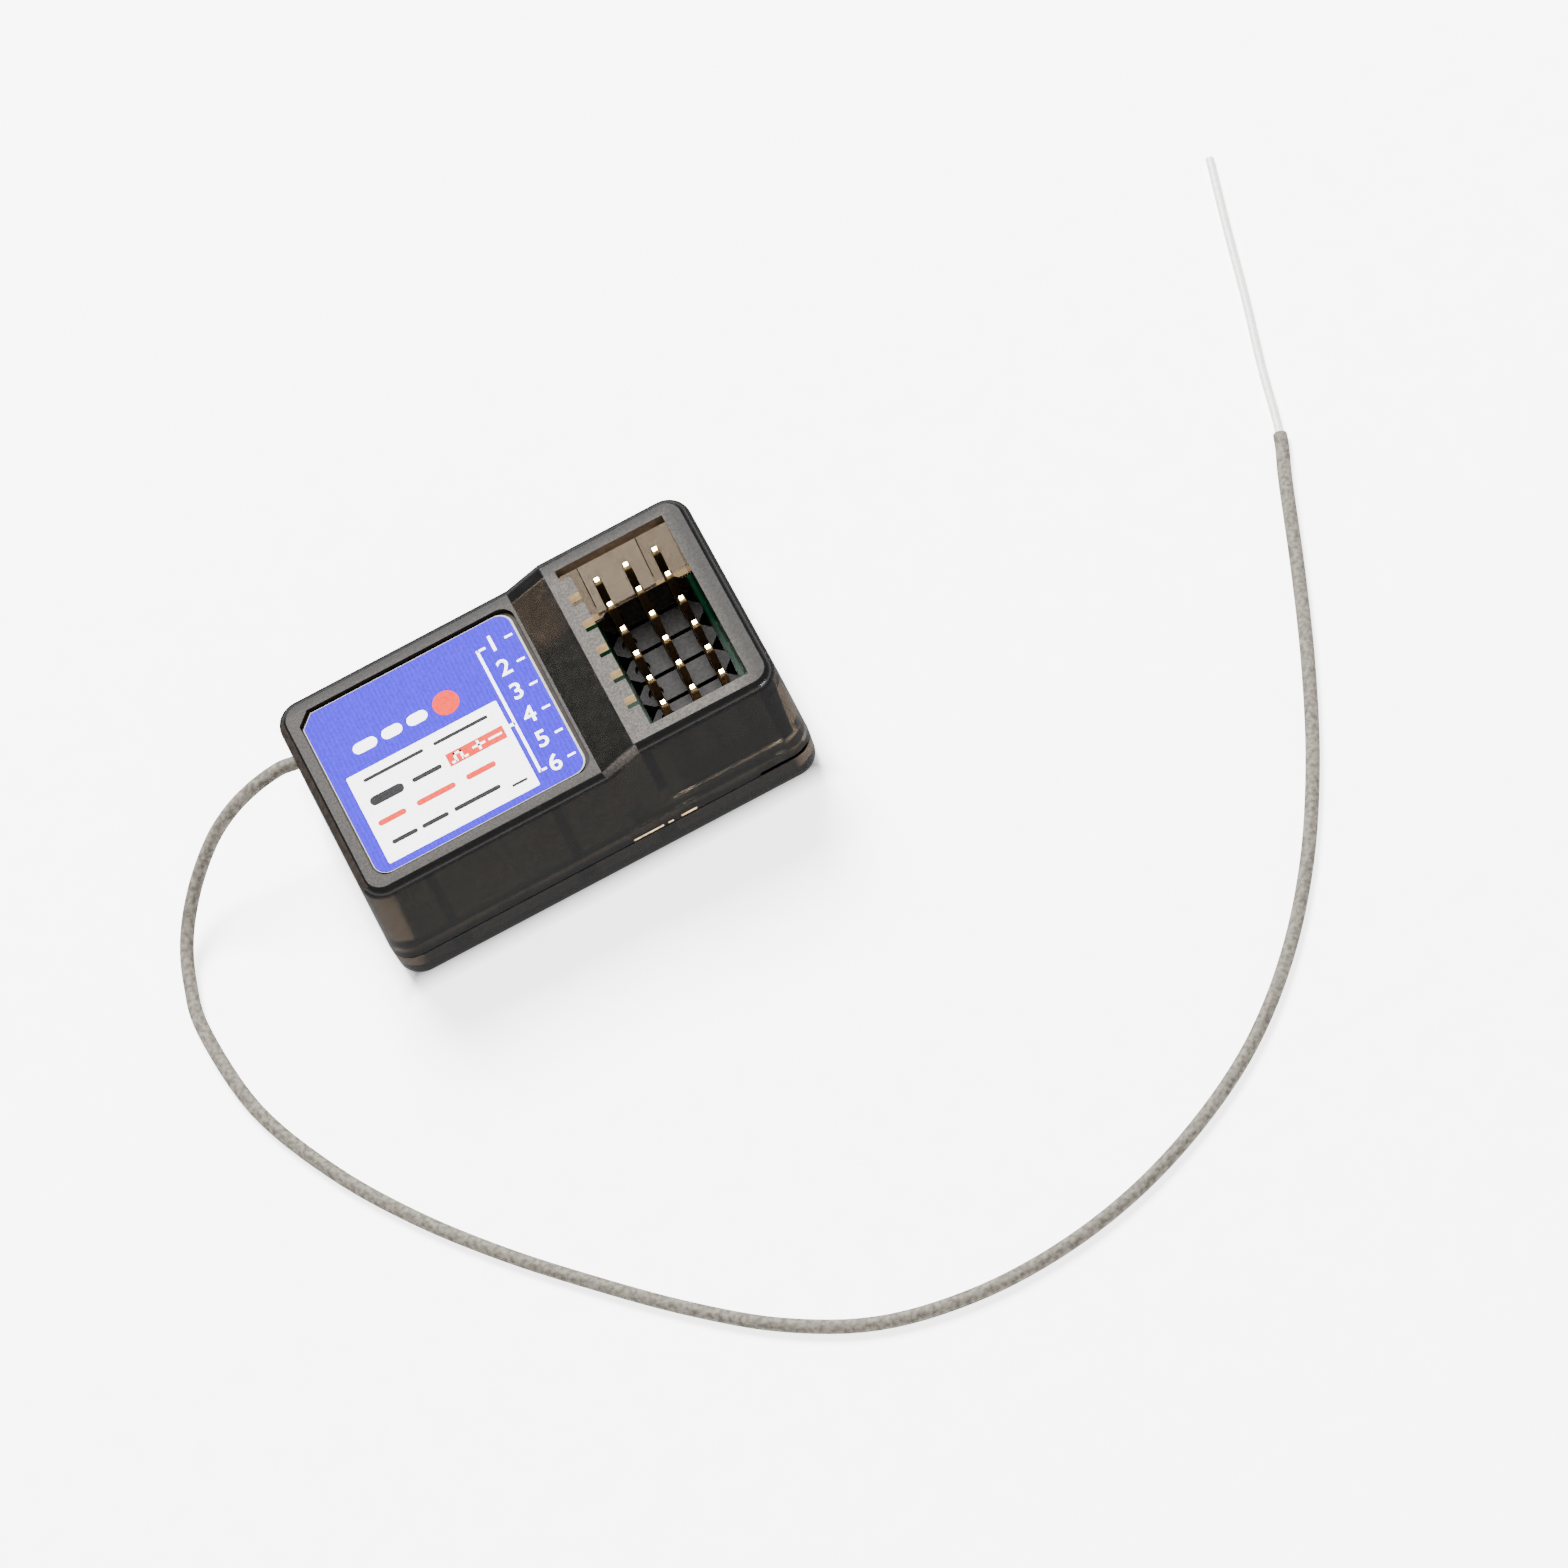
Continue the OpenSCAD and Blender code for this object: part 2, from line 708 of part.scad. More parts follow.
upper_case();
lower_case();
label();
main_board();
header_strip(1);  // header_strip_1
header_strip(2);  // header_strip_2
header_strip(3);  // header_strip_3
header_strip(4);  // header_strip_4
header_strip(5);  // header_strip_5
header_strip(6);  // header_strip_6
header_pin(1, 1);  // pin_1_signal
header_pin(1, 2);  // pin_1_positive
header_pin(1, 3);  // pin_1_negative
header_pin(2, 1);  // pin_2_signal
header_pin(2, 2);  // pin_2_positive
header_pin(2, 3);  // pin_2_negative
header_pin(3, 1);  // pin_3_signal
header_pin(3, 2);  // pin_3_positive
header_pin(3, 3);  // pin_3_negative
header_pin(4, 1);  // pin_4_signal
header_pin(4, 2);  // pin_4_positive
header_pin(4, 3);  // pin_4_negative
header_pin(5, 1);  // pin_5_signal
header_pin(5, 2);  // pin_5_positive
header_pin(5, 3);  // pin_5_negative
header_pin(6, 1);  // pin_6_signal
header_pin(6, 2);  // pin_6_positive
header_pin(6, 3);  // pin_6_negative
header_solder();
radio_chip();
controller_chip();
motion_chip();
crystal();
voltage_regulator();
input_capacitor();
output_capacitor();
status_lamp();
antenna_joint();
antenna_jacket();
antenna_core();
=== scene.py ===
import math

import bmesh
import bpy
from mathutils import Matrix, Vector


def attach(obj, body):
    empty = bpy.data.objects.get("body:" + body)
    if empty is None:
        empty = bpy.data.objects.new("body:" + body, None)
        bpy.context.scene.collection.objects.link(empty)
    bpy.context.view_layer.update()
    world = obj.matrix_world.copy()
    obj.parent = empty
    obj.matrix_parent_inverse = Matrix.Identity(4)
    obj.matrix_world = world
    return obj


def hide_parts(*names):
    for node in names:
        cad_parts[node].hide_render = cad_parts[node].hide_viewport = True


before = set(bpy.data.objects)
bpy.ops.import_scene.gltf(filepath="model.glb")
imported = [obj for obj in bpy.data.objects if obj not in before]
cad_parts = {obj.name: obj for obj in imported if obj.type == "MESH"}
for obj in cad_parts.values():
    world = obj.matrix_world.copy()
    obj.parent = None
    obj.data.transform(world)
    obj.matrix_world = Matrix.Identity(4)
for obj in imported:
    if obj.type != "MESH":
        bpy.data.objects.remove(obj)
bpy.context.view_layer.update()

# A small radio receiver: a case of smoke plastic with a printed label, a plug well with eighteen pins,
# and a thin antenna cable that lies on the floor and ends in a bared tip.
# Sizes and places are in millimetres, and MM turns them to metres. X runs along the case towards the
# plug well, Y from the front wall to the back wall, and Z up from the underside.

MM = 0.001


# Helpers

def linear(colour):
    """An sRGB hex colour as linear red, green, blue and alpha."""
    shares = [int(colour[i:i + 2], 16) / 255 for i in (1, 3, 5)]
    return tuple(s / 12.92 if s <= 0.04045 else ((s + 0.055) / 1.055) ** 2.4 for s in shares) + (1.0,)


def add(tree, kind, settings=None, sockets=None):
    """Adds a node to a tree. A socket's value is a number, a colour or another node's output."""
    made = tree.nodes.new(kind)
    for name, value in (settings or {}).items():
        setattr(made, name, value)
    for name, value in (sockets or {}).items():
        if isinstance(value, bpy.types.NodeSocket):
            tree.links.new(value, made.inputs[name])
        else:
            made.inputs[name].default_value = value
    return made


def node_box(name):
    """The low and high corners of a CAD node, in mm."""
    places = [vertex.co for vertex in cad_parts[name].data.vertices]
    low = Vector([min(place[axis] for place in places) for axis in range(3)]) / MM
    high = Vector([max(place[axis] for place in places) for axis in range(3)]) / MM
    return low, high


def place_piece(piece):
    """Puts a new piece on the object's one body."""
    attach(piece, "root")


def new_piece(name, bm, finish):
    """A finished bmesh as a piece of the object."""
    mesh = bpy.data.meshes.new(name)
    bm.to_mesh(mesh)
    bm.free()
    mesh.materials.append(finish)
    piece = bpy.data.objects.new(name, mesh)
    bpy.context.scene.collection.objects.link(piece)
    place_piece(piece)
    return piece


# Places that the finishes and pieces follow, worked out from the CAD nodes

case_low, case_high = node_box("upper_case")
label_low, label_high = node_box("label")
strip_low, strip_high = node_box("header_strip_1")
PIN_TOP = node_box("pin_1_signal")[1].z
HAIR = 0.02
DECK_STEP, DECK_MARGIN, TOP_PLATE = 1.25, 0.05, 1.1
DECK_TOPS = case_high.z - DECK_STEP - DECK_MARGIN
PLATE_UNDER = case_high.z - TOP_PLATE
WELL_END_RIM, WELL_SIDE_RIM, WELL_WIDTH, PANEL_DEPTH = 2.4, 1.9, 8.5, 0.5
WELL_RIGHT = case_high.x - WELL_END_RIM
WELL_LEFT = WELL_RIGHT - WELL_WIDTH
WELL_BACK = case_high.y - WELL_SIDE_RIM
NOTCH_DEPTH, NOTCH_RIM, NOTCH_LOW = 0.9, 0.85, 12.5
NOTCH_BACK = WELL_LEFT - NOTCH_DEPTH
RAMP_LENGTH = 3.1
RAMP_TOP = NOTCH_BACK - NOTCH_RIM
RAMP_FOOT = RAMP_TOP - RAMP_LENGTH
# The label's pocket
POCKET_LOW, POCKET_RIGHT, POCKET_SIDE = 13.1, 2.25, 8.4
# A small nick in the right end wall, near the front
NICK_LOW, NICK_HIGH, NICK_LEFT, NICK_Y, NICK_REACH = 4.59, 5.61, 17.6, -7.9, 0.26
# The front wall's face at its lower edge, where the wall's draft has taken off a hair
WALL_FRONT = case_low.y + HAIR


# Camera, solved from the eighteen pin tips of the photograph

AZIMUTH, ELEVATION, ROLL = math.radians(-2.837), math.radians(59.054), math.radians(-25.391)
PIN_GRID = Vector((11.7, 0.0, 13.9)) * MM
LOOK_OFFSET = Vector((-9.68, -12.28, 752.64)) * MM
FOCAL_LENGTH = 223.6
SENSOR_WIDTH = 36.0


def make_camera():
    """A camera that looks past the middle of the pin tips, turned about its own axis by the roll."""
    back = Vector((math.sin(AZIMUTH) * math.cos(ELEVATION),
                   -math.cos(AZIMUTH) * math.cos(ELEVATION), math.sin(ELEVATION)))
    level_right = (-back).cross(Vector((0, 0, 1))).normalized()
    level_up = level_right.cross(-back)
    right = math.cos(ROLL) * level_right + math.sin(ROLL) * level_up
    up = math.cos(ROLL) * level_up - math.sin(ROLL) * level_right
    lens = bpy.data.cameras.new("camera")
    lens.lens = FOCAL_LENGTH
    lens.sensor_width = SENSOR_WIDTH
    lens.clip_start = 0.01
    lens.clip_end = 10.0
    camera = bpy.data.objects.new("camera", lens)
    turn = Matrix((right, up, back)).transposed()
    place = PIN_GRID - (LOOK_OFFSET.x * right - LOOK_OFFSET.y * up - LOOK_OFFSET.z * back)
    camera.matrix_world = Matrix.Translation(place) @ turn.to_4x4()
    bpy.context.scene.collection.objects.link(camera)
    bpy.context.scene.camera = camera


make_camera()


# Antenna: its routes are measured from the cable hole in the left end wall, and from the floor

CABLE_HOLE = (-18.35, 7.05)
JACKET_ROUTE = [
    (1.25, -0.05, 9.65), (0.15, 0.0, 9.65), (-1.25, 0.25, 9.55), (-3.65, 0.2, 9.0), (-6.25, -0.05, 7.8),
    (-8.75, -0.6, 5.9), (-11.55, -2.15, 3.5), (-13.85, -4.7, 1.75), (-15.25, -8.0, 0.87),
    (-15.95, -12.3, 0.6), (-15.05, -20.75, 0.58), (-11.95, -28.8, 0.58), (-7.85, -35.9, 0.58),
    (-3.05, -42.4, 0.58), (2.15, -48.4, 0.58), (7.55, -54.1, 0.58), (13.25, -59.1, 0.58),
    (19.65, -62.8, 0.58), (26.75, -64.5, 0.58), (33.95, -64.6, 0.58), (41.15, -63.3, 0.58),
    (48.15, -60.6, 0.58), (54.65, -56.7, 0.58), (60.35, -51.4, 0.58), (65.25, -45.0, 0.58),
    (69.35, -37.8, 0.58), (72.85, -30.1, 0.58), (75.95, -22.1, 0.58), (78.85, -13.9, 0.58),
    (80.35, -9.9, 0.58)]
LEAD_ROUTE = [(7.05, -2.75, 5.38), (4.75, -2.45, 5.55), (3.15, -1.45, 6.95), (2.25, -0.45, 9.05),
              (1.25, -0.05, 9.65)]
CORE_ROUTE = [(80.35, -9.9, 0.58), (81.85, -3.5, 0.46), (83.55, 2.9, 0.38), (85.15, 9.5, 0.36),
              (86.85, 16.1, 0.36)]
JACKET_DIAMETER = 1.13
CORE_DIAMETER = 0.68
CORD_STEPS = 6


def smooth_line(route, before=None, after=None):
    """Points of a smooth curve through a route, in metres. Before and after give the slope at its ends."""
    hole = Vector((*CABLE_HOLE, 0.0))
    points = [(hole + Vector(p)) * MM for p in route]
    first = (hole + Vector(before)) * MM if before else points[0]
    last = (hole + Vector(after)) * MM if after else points[-1]
    padded = [first] + points + [last]
    line = []
    for i in range(len(points) - 1):
        a, b, c, d = padded[i:i + 4]
        for step in range(CORD_STEPS):
            t = step / CORD_STEPS
            line.append(0.5 * (2 * b + (c - a) * t + (2 * a - 5 * b + 4 * c - d) * t * t
                               + (3 * b - a - 3 * c + d) * t * t * t))
    line.append(points[-1])
    return line


def as_mesh(name, curve):
    """A curve or a text as a mesh object at the origin."""
    flat = bpy.data.objects.new("flat", curve)
    bpy.context.scene.collection.objects.link(flat)
    bpy.context.view_layer.update()
    mesh = bpy.data.meshes.new_from_object(flat.evaluated_get(bpy.context.evaluated_depsgraph_get()))
    mesh.materials.clear()
    mesh.name = name
    bpy.data.objects.remove(flat)
    piece = bpy.data.objects.new(name, mesh)
    bpy.context.scene.collection.objects.link(piece)
    return piece


def cord_tube(name, line, diameter):
    """A round cord along a line: a curve with a round section, made a mesh."""
    curve = bpy.data.curves.new(name, "CURVE")
    curve.dimensions = "3D"
    curve.bevel_depth = diameter * MM / 2
    curve.bevel_resolution = 4
    curve.use_fill_caps = True
    spline = curve.splines.new("POLY")
    spline.points.add(len(line) - 1)
    for point, place in zip(spline.points, line):
        point.co = (*place, 1.0)
    spline.use_smooth = True
    return as_mesh(name, curve)


jacket_line = smooth_line(JACKET_ROUTE, before=LEAD_ROUTE[-2], after=CORE_ROUTE[1])
jacket = cord_tube("antenna_cable", jacket_line, JACKET_DIAMETER)
lead = cord_tube("antenna_lead", smooth_line(LEAD_ROUTE, after=JACKET_ROUTE[1]), JACKET_DIAMETER)
core = cord_tube("antenna_bare_end", smooth_line(CORE_ROUTE, before=JACKET_ROUTE[-2]), CORE_DIAMETER)
place_piece(jacket)
place_piece(lead)
place_piece(core)
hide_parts("antenna_jacket")
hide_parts("antenna_core")


# Finishes: coordinates are in mm, so a noise's scale is the number of its spots in a millimetre

def new_finish(name):
    """An empty material; returns it with its tree and its Object coordinates in mm."""
    finish = bpy.data.materials.new(name)
    finish.use_nodes = True
    tree = finish.node_tree
    tree.nodes.clear()
    place = add(tree, "ShaderNodeTexCoord")
    in_mm = add(tree, "ShaderNodeVectorMath", {"operation": "SCALE"},
                {0: place.outputs["Object"], "Scale": 1 / MM})
    return finish, tree, in_mm.outputs[0]


def close_finish(tree, shader, relief, strength, distance):
    """Gives a shader its relief, whose distance is in mm, and joins it to the material's output."""
    bump = add(tree, "ShaderNodeBump", None,
               {"Height": relief, "Strength": strength, "Distance": distance * MM})
    tree.links.new(bump.outputs[0], shader.inputs["Normal"])
    return add(tree, "ShaderNodeOutputMaterial", None, {"Surface": shader.outputs[0]})


def two_tone(tree, factor, first, second, low, high):
    """A colour that runs from one hex colour to another as a factor passes from low to high."""
    share = add(tree, "ShaderNodeMapRange", None, {"Value": factor, "From Min": low, "From Max": high})
    tone = add(tree, "ShaderNodeMix", {"data_type": "RGBA"},
               {"Factor": share.outputs[0], "A": linear(first), "B": linear(second)})
    return tone.outputs["Result"]


def toned_by_place(tree, at, tone, zones, operation):
    """A tone made paler or darker by place, as painted light and shade.

    Each zone is an axis, where it starts and ends along it, and the share of the tone at both.
    """
    place = add(tree, "ShaderNodeSeparateXYZ", None, {"Vector": at})
    share = None
    for axis, start, end, at_start, at_end in zones:
        zone = add(tree, "ShaderNodeMapRange", None,
                   {"Value": place.outputs[axis], "From Min": start, "From Max": end,
                    "To Min": at_start, "To Max": at_end})
        if share is None:
            share = zone.outputs[0]
        else:
            share = add(tree, "ShaderNodeMath", {"operation": operation},
                        {0: share, 1: zone.outputs[0]}).outputs[0]
    shaded = add(tree, "ShaderNodeVectorMath", {"operation": "SCALE"}, {0: tone, "Scale": share})
    return shaded.outputs[0]


def painted_glow(finish, colour, strength):
    """A painted glow: emission that stands in for light reaching a face through the clear plastic round
    it.
    """
    sockets = finish.node_tree.nodes["Principled BSDF"].inputs
    sockets["Emission Color"].default_value = linear(colour)
    sockets["Emission Strength"].default_value = strength


# The grained decks: painted light makes them palest over the hollow middle of the raised deck, and painted
# shade darkens its right and back edges
LABEL_DECK_SHARE, RAISED_DECK_PAINTED_LIGHT_SHARE, RIGHT_EDGE_PAINTED_SHADE_SHARE, BACK_EDGE_PAINTED_SHADE_SHARE = 1.0, 2.1, 0.5, 0.4
DECK_PAINTED_LIGHT_ZONES = [("X", 2.0, 6.0, LABEL_DECK_SHARE, RAISED_DECK_PAINTED_LIGHT_SHARE),
              ("X", 14.5, 16.8, RAISED_DECK_PAINTED_LIGHT_SHARE, RIGHT_EDGE_PAINTED_SHADE_SHARE),
              ("Y", 7.2, 9.0, RAISED_DECK_PAINTED_LIGHT_SHARE, BACK_EDGE_PAINTED_SHADE_SHARE)]


def grained_smoke():
    """Smoke polycarbonate with a spark-eroded grain, on the top faces.

    The eye sees a matt warm grey with a fine sparkle. Such a grain is about 0.05 mm wide, and it is
    drawn 0.18 mm wide so that it shows.
    """
    finish, tree, at = new_finish("smoke_polycarbonate_grained")
    grain = add(tree, "ShaderNodeTexNoise", None,
                {"Vector": at, "Scale": 5.5, "Detail": 4.0, "Roughness": 0.7})
    patches = add(tree, "ShaderNodeTexNoise", None, {"Vector": at, "Scale": 0.35, "Detail": 2.0})
    fine = two_tone(tree, grain.outputs["Fac"], "#201E1D", "#3E3A35", 0.4, 0.64)
    warm = two_tone(tree, patches.outputs["Fac"], "#1D1C1B", "#221D18", 0.35, 0.7)
    mixed = add(tree, "ShaderNodeMix", {"data_type": "RGBA"}, {"Factor": 0.35, "A": fine, "B": warm})
    # Painted light and shade: the tone is raised over the raised deck's middle and lowered at its right
    # and back edges
    tone = toned_by_place(tree, at, mixed.outputs["Result"], DECK_PAINTED_LIGHT_ZONES, "MINIMUM")
    shader = add(tree, "ShaderNodeBsdfPrincipled", None,
                 {"Base Color": tone, "Roughness": 0.66, "IOR": 1.3})
    close_finish(tree, shader, grain.outputs["Fac"], 0.6, 0.04)
    return finish


# The polished walls: painted shade makes them darker at the left end and towards the back
WALL_PAINTED_SHADE_ZONES = [("X", -17.0, -13.0, 0.62, 1.0),
              ("Y", 0.0, 6.0, 1.0, 0.8)]
DYE_COLOUR = (0.155, 0.085, 0.0, 1.0)
DYE_DENSITY = 710.0


def polished_smoke():
    """Smoke polycarbonate straight from a polished mould, with faint handling marks.

    The eye sees through it, brown where a wall is thin and nearly black where light runs far inside.
    The marks are drawn 0.7 mm apart.
    """
    finish, tree, at = new_finish("smoke_polycarbonate_polished")
    flow = add(tree, "ShaderNodeTexNoise", None, {"Vector": at, "Scale": 0.22, "Detail": 2.0})
    clear = two_tone(tree, flow.outputs["Fac"], "#7C7368", "#8A8175", 0.3, 0.7)
    # Painted shade: the tone is darker at the left end and towards the back
    tone = toned_by_place(tree, at, clear, WALL_PAINTED_SHADE_ZONES, "MULTIPLY")
    wear = add(tree, "ShaderNodeTexNoise", None, {"Vector": at, "Scale": 1.4, "Detail": 4.0})
    gloss = add(tree, "ShaderNodeMapRange", None,
                {"Value": wear.outputs["Fac"], "From Min": 0.35, "From Max": 0.7,
                 "To Min": 0.11, "To Max": 0.19})
    shader = add(tree, "ShaderNodeBsdfPrincipled", None,
                 {"Base Color": tone, "Roughness": gloss.outputs[0], "IOR": 1.58,
                  "Transmission Weight": 1.0})
    output = close_finish(tree, shader, wear.outputs["Fac"], 0.2, 0.001)
    dye = add(tree, "ShaderNodeVolumeAbsorption", None, {"Color": DYE_COLOUR, "Density": DYE_DENSITY})
    tree.links.new(dye.outputs[0], output.inputs["Volume"])
    return finish


def printed_blue():
    """Vinyl label, offset printed in violet blue.

    The eye sees a flat strong colour with the faint lines of the printing screen. Such a screen has
    a pitch of about 0.15 mm, and it is drawn coarser so that it shows.
    """
    finish, tree, at = new_finish("label_vinyl_printed")
    screen = add(tree, "ShaderNodeTexNoise", None, {"Vector": at, "Scale": 4.0, "Detail": 2.0})
    lines = add(tree, "ShaderNodeTexWave", {"bands_direction": "X"},
                {"Vector": at, "Scale": 0.9, "Distortion": 3.0, "Detail": 2.0})
    both = add(tree, "ShaderNodeMath", {"operation": "MULTIPLY_ADD"},
               {0: lines.outputs["Fac"], 1: 0.25, 2: screen.outputs["Fac"]})
    tone = two_tone(tree, both.outputs[0], "#2600A4", "#3000BE", 0.35, 0.9)
    shader = add(tree, "ShaderNodeBsdfPrincipled", None,
                 {"Base Color": tone, "Roughness": 0.7, "IOR": 1.1})
    close_finish(tree, shader, screen.outputs["Fac"], 0.12, 0.02)
    return finish


# The pins are fully tarnished from TIP_FOOT down
TIP_FOOT, TIP_TOP = PIN_TOP - 0.25, PIN_TOP + 0.05


def plated_pin():
    """Brass pin, gold plated and drawn through a die.

    The eye sees a bright pale gold tip and sides that have gone brown, in stains about 0.7 mm wide.
    """
    finish, tree, at = new_finish("pin_brass_gold_plated")
    place = add(tree, "ShaderNodeSeparateXYZ", None, {"Vector": at})
    stains = add(tree, "ShaderNodeTexNoise", None, {"Vector": at, "Scale": 1.5, "Detail": 3.0})
    level = add(tree, "ShaderNodeMath", {"operation": "MULTIPLY_ADD"},
                {0: stains.outputs["Fac"], 1: 0.3, 2: place.outputs["Z"]})
    tone = two_tone(tree, level.outputs[0], "#7A664C", "#EAD6A6", TIP_FOOT, TIP_TOP)
    shader = add(tree, "ShaderNodeBsdfPrincipled", None,
                 {"Base Color": tone, "Roughness": 0.36, "Metallic": 1.0})
    close_finish(tree, shader, stains.outputs["Fac"], 0.2, 0.02)
    return finish


# Painted shade: the board is darkened where the header strips stand over it and a little past both of
# their ends
STRIPS_PAST, PAINTED_SHADE_EDGE, PAINTED_SHADE_SHARE = 0.12, 0.1, 0.12
STRIPS_MIDDLE = (strip_low.x + strip_high.x) / 2
STRIPS_REACH = (strip_high.x - strip_low.x) / 2 + STRIPS_PAST
# A faint painted glow on the board where it is not shaded, for light coming through the plastic above
MASK_PAINTED_GLOW = 0.1


def green_mask():
    """Green solder mask on woven glass laminate.

    The eye sees a deep satin green. It is painted nearly black as shade where the header strips stand
    over it, and given a faint painted glow elsewhere. The weave is drawn 0.8 mm wide.
    """
    finish, tree, at = new_finish("board_laminate_green_mask")
    weave = add(tree, "ShaderNodeTexNoise", None, {"Vector": at, "Scale": 1.2, "Detail": 3.0})
    tone = two_tone(tree, weave.outputs["Fac"], "#072116", "#0C331E", 0.35, 0.65)
    place = add(tree, "ShaderNodeSeparateXYZ", None, {"Vector": at})
    off_middle = add(tree, "ShaderNodeMath", {"operation": "SUBTRACT"},
                     {0: place.outputs["X"], 1: STRIPS_MIDDLE})
    aside = add(tree, "ShaderNodeMath", {"operation": "ABSOLUTE"}, {0: off_middle.outputs[0]})
    # Painted shade under the header strips
    unshaded_share = add(tree, "ShaderNodeMapRange", None,
                     {"Value": aside.outputs[0], "From Min": STRIPS_REACH,
                      "From Max": STRIPS_REACH + PAINTED_SHADE_EDGE, "To Min": PAINTED_SHADE_SHARE, "To Max": 1.0})
    shaded = add(tree, "ShaderNodeVectorMath", {"operation": "SCALE"},
                 {0: tone, "Scale": unshaded_share.outputs[0]})
    glow = add(tree, "ShaderNodeMath", {"operation": "MULTIPLY"}, {0: unshaded_share.outputs[0], 1: MASK_PAINTED_GLOW})
    shader = add(tree, "ShaderNodeBsdfPrincipled", None,
                 {"Base Color": shaded.outputs[0], "Roughness": 0.5, "IOR": 1.25,
                  "Emission Color": linear("#2C8F63"), "Emission Strength": glow.outputs[0]})
    close_finish(tree, shader, weave.outputs["Fac"], 0.2, 0.03)
    return finish


def plain_finish(name, first, second, scale, roughness, metallic=0.0, ior=1.5):
    """A finish of one material whose tone and relief vary on the scale of its own grain."""
    finish, tree, at = new_finish(name)
    grain = add(tree, "ShaderNodeTexNoise", None, {"Vector": at, "Scale": scale, "Detail": 3.0})
    tone = two_tone(tree, grain.outputs["Fac"], first, second, 0.35, 0.65)
    shader = add(tree, "ShaderNodeBsdfPrincipled", None,
                 {"Base Color": tone, "Roughness": roughness, "Metallic": metallic, "IOR": ior})
    close_finish(tree, shader, grain.outputs["Fac"], 0.2, 0.03)
    return finish


GRAINED = grained_smoke()
POLISHED = polished_smoke()
BLUE = printed_blue()
GOLD = plated_pin()
LAMINATE = green_mask()
# Screen-printed inks: flat, almost without gloss, with the vinyl's grain of 0.2 to 0.25 mm
WHITE_INK = plain_finish("label_white_ink", "#F4F4F8", "#FFFFFF", 4.0, 0.5)
GREY_INK = plain_finish("label_grey_ink", "#161617", "#222224", 5.0, 0.6, ior=1.15)
SALMON_INK = plain_finish("label_salmon_ink", "#BA200F", "#C62E1B", 4.0, 0.6, ior=1.15)
# The label's cut edge: bare cream vinyl, a little dirty
PAPER_EDGE = plain_finish("label_bare_vinyl", "#6E6858", "#7E7868", 3.0, 0.5)
# Moulded nylon: black, satin, with a soft mottle of 0.3 mm
HEADER = plain_finish("header_nylon_black", "#0B0A0A", "#201E1D", 3.4, 0.6, ior=1.25)
# Reflowed tin solder: bright and smooth, with slight waves
SOLDER = plain_finish("solder_tin_reflowed", "#B9BABC", "#D2D3D4", 1.5, 0.25, metallic=1.0)
# Moulded epoxy: dark grey and matt, with a filler grain of 0.2 mm
RESIN = plain_finish("chip_epoxy_moulded", "#161617", "#232324", 5.0, 0.55)
# Drawn nickel silver: a bright warm grey, with handling marks 0.5 mm apart
CAN = plain_finish("crystal_can_nickel", "#B8B6AE", "#CFCDC6", 2.0, 0.25, metallic=1.0)
# Fired ceramic: tan, smooth, slightly speckled
CERAMIC = plain_finish("capacitor_ceramic_fired", "#8A6A4A", "#A07C58", 3.0, 0.4)
# Smoke polycarbonate at the well's rim: painted light, the brown that a long path through the dye leaves
CUT = plain_finish("smoke_polycarbonate_rim_painted_light", "#544435", "#655343", 2.0, 0.4)
# Smoke polycarbonate in narrow corners, where no light comes back: painted shade, nearly black
SHADE = plain_finish("smoke_polycarbonate_painted_shade", "#1A1613", "#26201B", 2.0, 0.6, ior=1.2)
# Smoke polycarbonate at an edge that catches the light from inside: painted light, warm cream with a
# painted glow
LIT = plain_finish("smoke_polycarbonate_painted_lit_edge", "#9C7C54", "#D8BC8C", 2.4, 0.35)
painted_glow(LIT, "#F2CC94", 0.55)
# Clear cast resin over the lamp: pale and glossy
LAMP = plain_finish("lamp_resin_clear", "#E6E0D4", "#F4F0E6", 2.0, 0.2)
# Extruded grey jacket: matt, with the extruder's mottle of 0.4 mm
JACKET = plain_finish("cable_jacket_extruded", "#46423B", "#6C675D", 2.6, 0.7, ior=1.35)
# Bare polyethylene insulation: milky white, a little waxy
CORE = plain_finish("cable_core_polyethylene", "#C8C7C4", "#DCDBD8", 3.0, 0.35)

FINISH_OF = {"upper_case": POLISHED, "lower_case": POLISHED, "label": PAPER_EDGE, "main_board": LAMINATE,
             "header_solder": SOLDER, "radio_chip": RESIN, "controller_chip": RESIN, "motion_chip": RESIN,
             "voltage_regulator": RESIN, "crystal": CAN, "input_capacitor": CERAMIC,
             "output_capacitor": CERAMIC, "status_lamp": LAMP, "antenna_joint": SOLDER,
             "antenna_jacket": JACKET, "antenna_core": CORE}
for name, cad_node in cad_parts.items():
    if name.startswith("header_strip"):
        finish = HEADER
    elif name.startswith("pin_"):
        finish = GOLD
    else:
        finish = FINISH_OF[name]
    for place in cad_node.material_slots:
        place.material = finish
jacket.data.materials.append(JACKET)
lead.data.materials.append(JACKET)
core.data.materials.append(CORE)


# Case shells: copies of the CAD shells, so that one moulding can have more than one finish

SHELL_FINISHES = [POLISHED, GRAINED, CUT, SHADE, LIT]
CREASE = math.radians(28)
# The least upward share of a normal on a deck, and the most on an upright wall
LEVEL, UPRIGHT = 0.985, 0.1
# The least share of a normal along X or Y on a wall that faces that way
SQUARE_ON = 0.9
# The least shares of a normal, up and to the front, on the ramp's rounded front edge
EDGE_UP, EDGE_FRONT = 0.4, 0.25
MERGE_DISTANCE, CUT_DISTANCE = 0.0005, 0.0001


